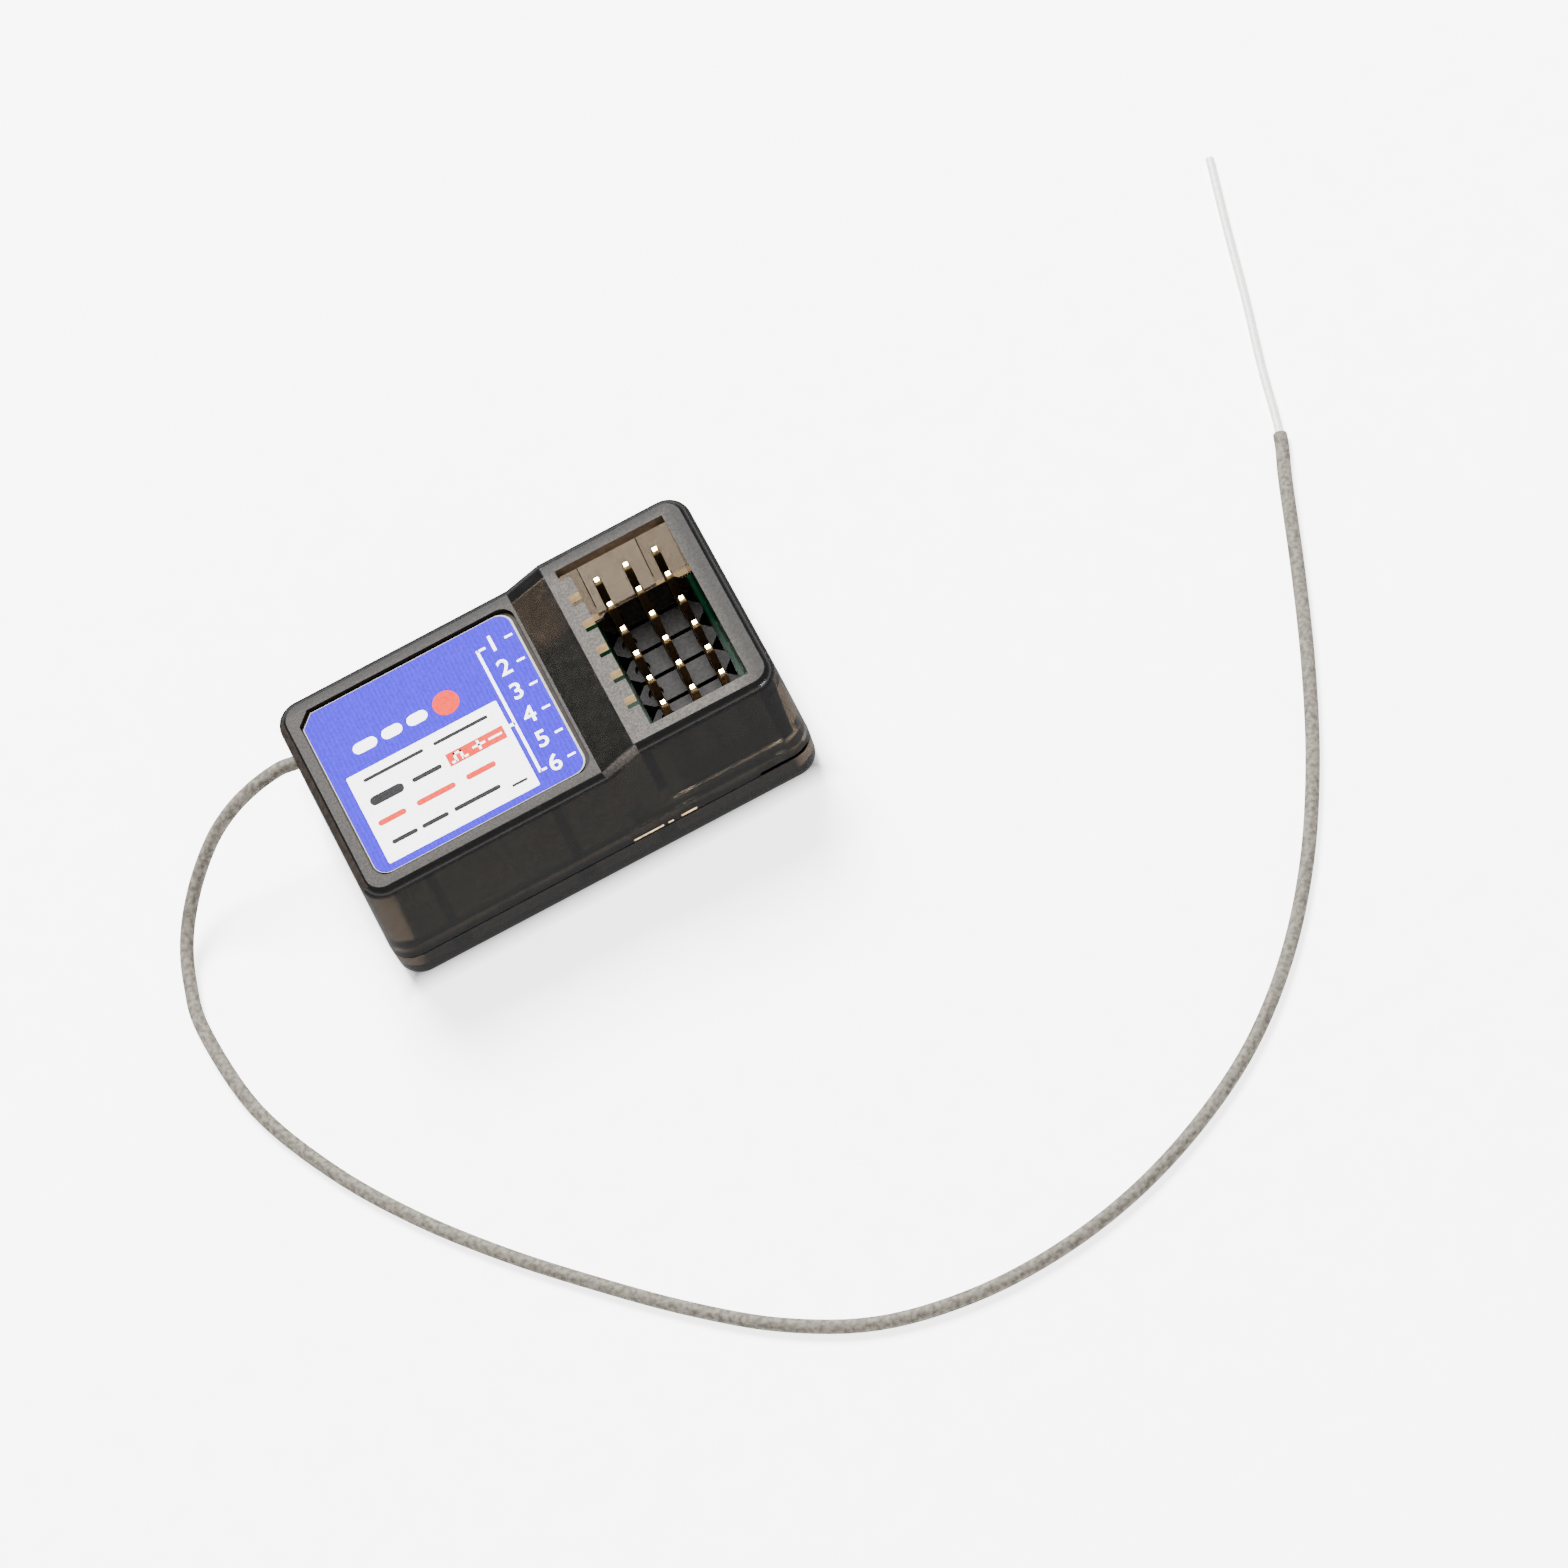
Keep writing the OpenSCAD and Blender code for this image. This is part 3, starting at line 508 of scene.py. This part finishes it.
def shell_copy(name, cad_name, finishes):
    """A copy of a CAD shell with its loose triangles joined; returns it with its bmesh."""
    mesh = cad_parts[cad_name].data.copy()
    mesh.name = name
    bm = bmesh.new()
    bm.from_mesh(mesh)
    bmesh.ops.remove_doubles(bm, verts=bm.verts, dist=MERGE_DISTANCE * MM)
    mesh.materials.clear()
    for finish in finishes:
        mesh.materials.append(finish)
    piece = bpy.data.objects.new(name, mesh)
    bpy.context.scene.collection.objects.link(piece)
    return piece, bm


def close_shell(piece, bm, cad_name):
    """Smooths a shell between its sharp edges and its finishes, and puts it in the CAD shell's place."""
    for face in bm.faces:
        face.smooth = True
    for edge in bm.edges:
        pair = edge.link_faces
        edge.smooth = not (len(pair) == 2 and (edge.calc_face_angle() > CREASE
                                               or pair[0].material_index != pair[1].material_index))
    bm.to_mesh(piece.data)
    bm.free()
    place_piece(piece)
    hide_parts(cad_name)


def cut_well_walls(bm):
    """Cuts the well's upright faces level with the underside of the deck."""
    walls = []
    for face in bm.faces:
        middle = face.calc_center_median() / MM
        by_well = NOTCH_BACK - HAIR < middle.x < WELL_RIGHT + HAIR
        if by_well and abs(face.normal.z) < UPRIGHT and abs(middle.y) < WELL_BACK + PANEL_DEPTH:
            walls.append(face)
    edges = {edge for face in walls for edge in face.edges}
    corners = {corner for face in walls for corner in face.verts}
    bmesh.ops.bisect_plane(bm, geom=walls + list(edges) + list(corners),
                           plane_co=(0, 0, PLATE_UNDER * MM), plane_no=(0, 0, 1), dist=CUT_DISTANCE * MM)
    bm.normal_update()


def upper_finish(face):
    """The finish of one face of the upper shell, by its place and the way it faces."""
    middle = face.calc_center_median() / MM
    normal = face.normal
    faces_front = normal.y < -SQUARE_ON
    in_panel = WELL_BACK + HAIR < middle.y < WELL_BACK + PANEL_DEPTH and WELL_LEFT < middle.x < WELL_RIGHT
    on_back_wall = (faces_front and WELL_BACK - HAIR < middle.y < WELL_BACK + PANEL_DEPTH
                    and NOTCH_BACK < middle.x < WELL_RIGHT)
    in_notch = (faces_front and NOTCH_BACK - HAIR < middle.x < WELL_LEFT
                and middle.y < WELL_BACK - PANEL_DEPTH and middle.z > NOTCH_LOW)
    in_pocket = (POCKET_LOW < middle.z < DECK_TOPS and middle.x < POCKET_RIGHT
                 and abs(middle.y) < POCKET_SIDE)
    in_nick = (NICK_LOW < middle.z < NICK_HIGH and middle.x > NICK_LEFT
               and abs(middle.y - NICK_Y) < NICK_REACH)
    ramp_front_edge = (RAMP_FOOT - HAIR < middle.x < RAMP_TOP + HAIR
                       and normal.z > EDGE_UP and normal.y < -EDGE_FRONT)
    if normal.z > LEVEL and middle.z > DECK_TOPS:
        return GRAINED
    # Painted shade: the middle panel's sides, the label's pocket and the nick take the nearly black copy
    # of the plastic
    if in_panel and abs(normal.x) > SQUARE_ON:
        return SHADE
    # Painted light: the well's rim above the deck's underside takes a brown copy of the plastic
    if on_back_wall and middle.z > PLATE_UNDER:
        return CUT
    # The notches: painted shade below the deck's underside, painted light with a painted glow above it
    if in_notch:
        return SHADE if middle.z < PLATE_UNDER else LIT
    if in_pocket or in_nick:
        return SHADE
    return GRAINED if ramp_front_edge else POLISHED


upper_shell, bm = shell_copy("upper_shell", "upper_case", SHELL_FINISHES)
cut_well_walls(bm)
for face in bm.faces:
    face.material_index = SHELL_FINISHES.index(upper_finish(face))
close_shell(upper_shell, bm, "upper_case")

lower_shell, bm = shell_copy("lower_shell", "lower_case", [POLISHED])
for face in bm.faces:
    face.material_index = 0
close_shell(lower_shell, bm, "lower_case")


# Ledges and lines of the walls that face front

LINE_DEPTH, LEDGE_DEPTH = 0.02, 0.12


def ledge(name, x0, x1, low, high, reach, finish=LIT, back=WELL_BACK):
    """A small flat box that stands out of a wall that faces front."""
    bm = bmesh.new()
    bmesh.ops.create_cube(bm, size=1.0)
    bmesh.ops.scale(bm, verts=bm.verts, vec=((x1 - x0) * MM, reach * MM, (high - low) * MM))
    middle = Vector((x0 + x1, 2 * back - reach, low + high)) / 2
    bmesh.ops.translate(bm, verts=bm.verts, vec=middle * MM)
    new_piece(name, bm, finish)


# The foot of the well's back wall has small steps, given painted light and a painted glow
ledge("well_ledge_right", 14.8, 15.9, 5.9, 6.5, LEDGE_DEPTH)
ledge("well_ledge_middle", 13.3, 14.1, 5.9, 6.6, LEDGE_DEPTH)
ledge("well_ledge_left", 7.6, 8.1, 5.9, 6.6, LEDGE_DEPTH)
# The front wall's lower edge has painted highlights in three places: thin plates with painted light and a
# painted glow
ledge("shell_edge_glint_1", 2.3, 4.9, 3.72, 3.92, LINE_DEPTH, LIT, WALL_FRONT)
ledge("shell_edge_glint_2", 6.45, 7.8, 3.72, 3.95, LINE_DEPTH, LIT, WALL_FRONT)
ledge("shell_edge_glint_3", 5.3, 5.75, 3.74, 3.9, LINE_DEPTH, LIT, WALL_FRONT)
# Fine lines of painted shade edge the back wall's middle panel
ledge("well_panel_edge_left", 8.18, 8.25, 7.4, 13.75, LINE_DEPTH, SHADE)
ledge("well_panel_edge_right", 13.27, 13.34, 7.6, 13.75, LINE_DEPTH, SHADE)


# Label print: each later ink lies one layer higher

INK = 0.012
CORNER_STEPS = 6


def plate(name, corners, finish, layers):
    """A thin flat plate of ink on the label with the given corners."""
    bm = bmesh.new()
    face = bm.faces.new([bm.verts.new((x * MM, y * MM, label_high.z * MM)) for x, y in corners])
    if face.normal.z < 0:
        face.normal_flip()
    grown = bmesh.ops.extrude_face_region(bm, geom=[face])
    bmesh.ops.translate(bm, verts=[v for v in grown["geom"] if isinstance(v, bmesh.types.BMVert)],
                        vec=(0, 0, layers * INK * MM))
    bmesh.ops.recalc_face_normals(bm, faces=bm.faces)
    return new_piece(name, bm, finish)


def stroke(name, start, end, width, layers=2):
    """A straight line printed in white, with square ends."""
    along = Vector((end[0] - start[0], end[1] - start[1]))
    across = Vector((-along.y, along.x)).normalized() * width / 2
    corners = [(start[0] + across.x, start[1] + across.y), (start[0] - across.x, start[1] - across.y),
               (end[0] - across.x, end[1] - across.y), (end[0] + across.x, end[1] + across.y)]
    return plate(name, corners, WHITE_INK, layers)


def rounded_corners(x0, x1, y0, y1, radius, cut=0.0):
    """Corners of a rounded rectangle. Cut takes off the corner at the low x and high y."""
    spots = []
    for cx, cy, start in [(x1 - radius, y1 - radius, 0), (x0 + radius, y1 - radius, 90),
                          (x0 + radius, y0 + radius, 180), (x1 - radius, y0 + radius, 270)]:
        if cut and start == 90:
            spots += [(x0 + cut, y1), (x0, y1 - cut)]
            continue
        for i in range(CORNER_STEPS + 1):
            angle = math.radians(start + 90 * i / CORNER_STEPS)
            spots.append((cx + radius * math.cos(angle), cy + radius * math.sin(angle)))
    return spots


def pill(name, x0, x1, y, width, finish, layers=3):
    """A plain printed bar with round ends."""
    corners = rounded_corners(x0, x1, y - width / 2, y + width / 2, width / 2 - 0.01)
    return plate(name, corners, finish, layers)


# The blue field leaves a cream edge, wider on the right
CREAM_EDGE, CREAM_RIGHT = 0.06, 0.17
plate("label_blue_print",
      rounded_corners(label_low.x + CREAM_EDGE, label_high.x - CREAM_RIGHT,
                      label_low.y + CREAM_EDGE, label_high.y - CREAM_EDGE, 1.1, cut=1.05), BLUE, 1)
plate("label_white_panel", rounded_corners(-15.25, -2.15, -7.43, 1.22, 0.15), WHITE_INK, 2)

# A bracket, and a numeral and a tick for each row of pins
BRACKET_X = -1.66
FIRST_ROW, NUMERAL_PITCH = 5.92, 2.45
NUMERAL_X, NUMERAL_SIZE, NUMERAL_BOLD = -0.35, 2.1, 0.03
stroke("label_bracket", (BRACKET_X, 6.02), (BRACKET_X, -6.45), 0.24)
stroke("label_bracket_back", (BRACKET_X, 5.92), (-0.95, 5.92), 0.22)
stroke("label_bracket_front", (BRACKET_X, -6.35), (-1.1, -6.35), 0.22)
stroke("label_bracket_branch", (-2.15, -1.45), (BRACKET_X, -1.45), 0.3)
for row in range(6):
    row_y = FIRST_ROW - row * NUMERAL_PITCH
    stroke(f"label_tick_{row + 1}", (0.72, row_y), (1.4, row_y), 0.2)
    digit = bpy.data.curves.new(f"label_numeral_{row + 1}", "FONT")
    digit.body = str(row + 1)
    digit.size = NUMERAL_SIZE * MM
    digit.align_x = "CENTER"
    digit.align_y = "CENTER"
    digit.extrude = INK * MM
    digit.offset = NUMERAL_BOLD * MM
    numeral = as_mesh(digit.name, digit)
    numeral.data.transform(Matrix.Translation(Vector((NUMERAL_X, row_y, label_high.z + INK)) * MM))
    numeral.data.materials.append(WHITE_INK)
    place_piece(numeral)

# The salmon box with its pulse, plus and minus signs
plate("label_signal_box", [(-7.6, -2.25), (-7.6, -1.05), (-2.65, -1.05), (-2.65, -2.25)], SALMON_INK, 3)
SIGNS = [("pulse_foot", (-7.35, -2.0), (-6.95, -2.0)), ("pulse_rise", (-6.95, -2.1), (-6.95, -1.25)),
         ("pulse_roof", (-7.05, -1.35), (-6.3, -1.35)), ("pulse_fall", (-6.4, -1.25), (-6.4, -2.1)),
         ("pulse_end", (-6.4, -2.0), (-5.95, -2.0)), ("plus_bar", (-5.45, -1.65), (-4.35, -1.65)),
         ("plus_post", (-4.9, -1.2), (-4.9, -2.1)), ("minus_bar", (-4.05, -1.65), (-2.9, -1.65))]
for name, start, end in SIGNS:
    stroke("label_sign_" + name, start, end, 0.2, layers=4)

# Plain bars, a dot and a rule fill the rest of the label
for number, (x0, x1) in enumerate([(-13.75, -11.7), (-11.25, -9.5), (-9.05, -7.3)]):
    pill(f"label_title_bar_{number + 1}", x0, x1, 3.15, 1.0, WHITE_INK, 2)
pill("label_title_dot", -6.75, -4.55, 3.15, 2.2, SALMON_INK, 2)
for number, (x0, x1) in enumerate([(-14.1, -8.9), (-8.0, -3.3)]):
    pill(f"label_line_bar_{number + 1}", x0, x1, 0.3, 0.3, GREY_INK)
for number, (x0, x1, width) in enumerate([(-14.4, -11.5, 0.85), (-10.75, -8.2, 0.4)]):
    pill(f"label_bold_bar_{number + 1}", x0, x1, -1.75, width, GREY_INK)
for number, (x0, x1) in enumerate([(-14.6, -12.2), (-11.25, -7.9), (-6.95, -4.4)]):
    pill(f"label_salmon_bar_{number + 1}", x0, x1, -3.8, 0.5, SALMON_INK)
for number, (x0, x1) in enumerate([(-14.3, -12.1), (-11.7, -9.4), (-8.9, -4.9)]):
    pill(f"label_low_bar_{number + 1}", x0, x1, -5.85, 0.38, GREY_INK)
plate("label_low_rule", [(-4.1, -6.5), (-4.1, -6.28), (-2.8, -6.28), (-2.8, -6.5)], GREY_INK, 3)


# Floor: a white sheet lit from below, with a painted shadow where its glow stops under the case's own
# footprint

FOOT_X, FOOT_Y = 18.0, 9.8
GLOW_FROM, GLOW_TO = -0.5, 1.5
SHEET_GLOW = 3.5
SHEET_HALF = 1500.0


def lit_sheet():
    """White acrylic sheet, evenly lit from below, with a faint cloudiness and a painted shadow under the
    case.
    """
    finish, tree, at = new_finish("floor_lit_white_sheet")
    clouds = add(tree, "ShaderNodeTexNoise", None, {"Vector": at, "Scale": 0.4})
    tone = two_tone(tree, clouds.outputs["Fac"], "#F6F6F6", "#FAFAFA", 0.3, 0.7)
    apart = add(tree, "ShaderNodeVectorMath", {"operation": "ABSOLUTE"}, {0: at})
    sides = add(tree, "ShaderNodeSeparateXYZ", None, {"Vector": apart.outputs[0]})
    past_x = add(tree, "ShaderNodeMath", {"operation": "SUBTRACT"}, {0: sides.outputs["X"], 1: FOOT_X})
    past_y = add(tree, "ShaderNodeMath", {"operation": "SUBTRACT"}, {0: sides.outputs["Y"], 1: FOOT_Y})
    past = add(tree, "ShaderNodeMath", {"operation": "MAXIMUM"},
               {0: past_x.outputs[0], 1: past_y.outputs[0]})
    # Painted shadow: no glow under the case's footprint, growing to the full glow just outside it
    glow = add(tree, "ShaderNodeMapRange", None,
               {"Value": past.outputs[0], "From Min": GLOW_FROM, "From Max": GLOW_TO,
                "To Min": 0.0, "To Max": SHEET_GLOW})
    shader = add(tree, "ShaderNodeBsdfPrincipled", None,
                 {"Base Color": tone, "Roughness": 0.9, "Emission Color": tone,
                  "Emission Strength": glow.outputs[0]})
    add(tree, "ShaderNodeOutputMaterial", None, {"Surface": shader.outputs[0]})
    return finish


bm = bmesh.new()
bmesh.ops.create_grid(bm, x_segments=1, y_segments=1, size=SHEET_HALF * MM)
sheet = bpy.data.meshes.new("floor")
bm.to_mesh(sheet)
bm.free()
sheet.materials.append(lit_sheet())
floor = bpy.data.objects.new("floor", sheet)
bpy.context.scene.collection.objects.link(floor)
floor.visible_glossy = False


# Light: a dim room that is brighter in a band above the horizon, and two softboxes

ROOM_LIGHT, BAND_LIGHT = 0.4, 1.1

world = bpy.data.worlds.new("studio")
bpy.context.scene.world = world
world.use_nodes = True
sky = world.node_tree
toward = add(sky, "ShaderNodeTexCoord")
slope = add(sky, "ShaderNodeSeparateXYZ", None, {"Vector": toward.outputs["Generated"]})
rise = add(sky, "ShaderNodeMapRange", {"interpolation_type": "SMOOTHSTEP"},
           {"Value": slope.outputs["Z"], "From Min": -0.05, "From Max": 0.1})
fall = add(sky, "ShaderNodeMapRange", {"interpolation_type": "SMOOTHSTEP"},
           {"Value": slope.outputs["Z"], "From Min": 0.25, "From Max": 0.6, "To Min": 1.0, "To Max": 0.0})
band = add(sky, "ShaderNodeMath", {"operation": "MULTIPLY"}, {0: rise.outputs[0], 1: fall.outputs[0]})
level = add(sky, "ShaderNodeMath", {"operation": "MULTIPLY_ADD"},
            {0: band.outputs[0], 1: BAND_LIGHT, 2: ROOM_LIGHT})
sky.links.new(level.outputs[0], sky.nodes["Background"].inputs["Strength"])
sky.nodes["Background"].inputs["Color"].default_value = (1, 1, 1, 1)


def softbox(name, place, width, height, power):
    """A soft rectangular studio light that looks at the case; sizes in metres, power in watts."""
    light = bpy.data.lights.new(name, "AREA")
    light.shape = "RECTANGLE"
    light.size = width
    light.size_y = height
    light.energy = power
    lamp = bpy.data.objects.new(name, light)
    lamp.location = place
    lamp.rotation_mode = "QUATERNION"
    lamp.rotation_quaternion = (-Vector(place)).to_track_quat("-Z", "Y")
    lamp.visible_transmission = False
    bpy.context.scene.collection.objects.link(lamp)


softbox("overhead", (0.04, 0.72, 1.0), 0.5, 0.6, 84.0)
softbox("front_fill", (0.5, -0.9, 0.55), 0.5, 0.4, 4.0)
